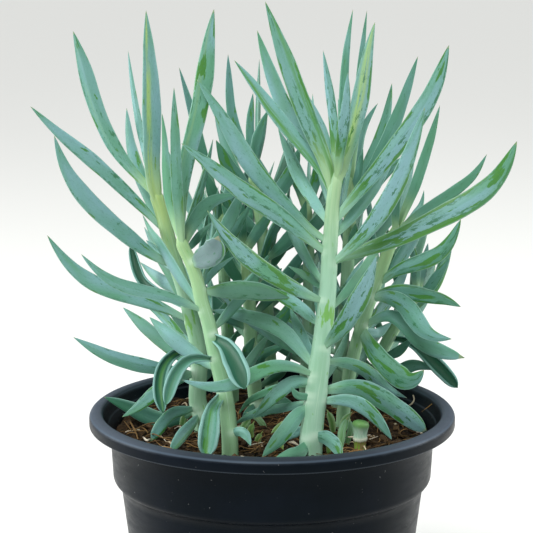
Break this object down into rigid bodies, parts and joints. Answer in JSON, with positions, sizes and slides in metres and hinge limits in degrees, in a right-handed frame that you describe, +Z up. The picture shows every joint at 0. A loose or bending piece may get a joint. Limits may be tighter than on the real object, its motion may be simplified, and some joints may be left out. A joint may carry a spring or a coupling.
{
  "type": "potted leafy succulent",
  "caption": "Upright leafy succulent with long blue-green finger leaves on pale stems, growing in soil in a black plastic nursery pot.",
  "frame": {"origin": "middle of the pot's flat base", "axes": "+Z up along the pot's axis, +Y away from the viewer of the picture, +X to the right"},
  "size_m": [0.2591, 0.2365, 0.4039],
  "materials": {
    "pot_plastic": "satin black moulded plastic",
    "soil_mix": "loose damp peat and coir",
    "old_stem": "dry cut stem",
    "leaf": "waxy matte succulent skin"
  },
  "bodies": {
    "root": {"pot": "pot_plastic", "soil": "soil_mix", "old_stub": "old_stem", "tall_stem": "leaf", "front_left_stem": "leaf", "left_stem": "leaf", "centre_stem": "leaf", "upper_centre_stem": "leaf", "shaded_stem": "leaf", "right_stem": "leaf", "far_right_stem": "leaf", "back_left_stem": "leaf", "back_right_stem": "leaf"}
  },
  "joints": []
}
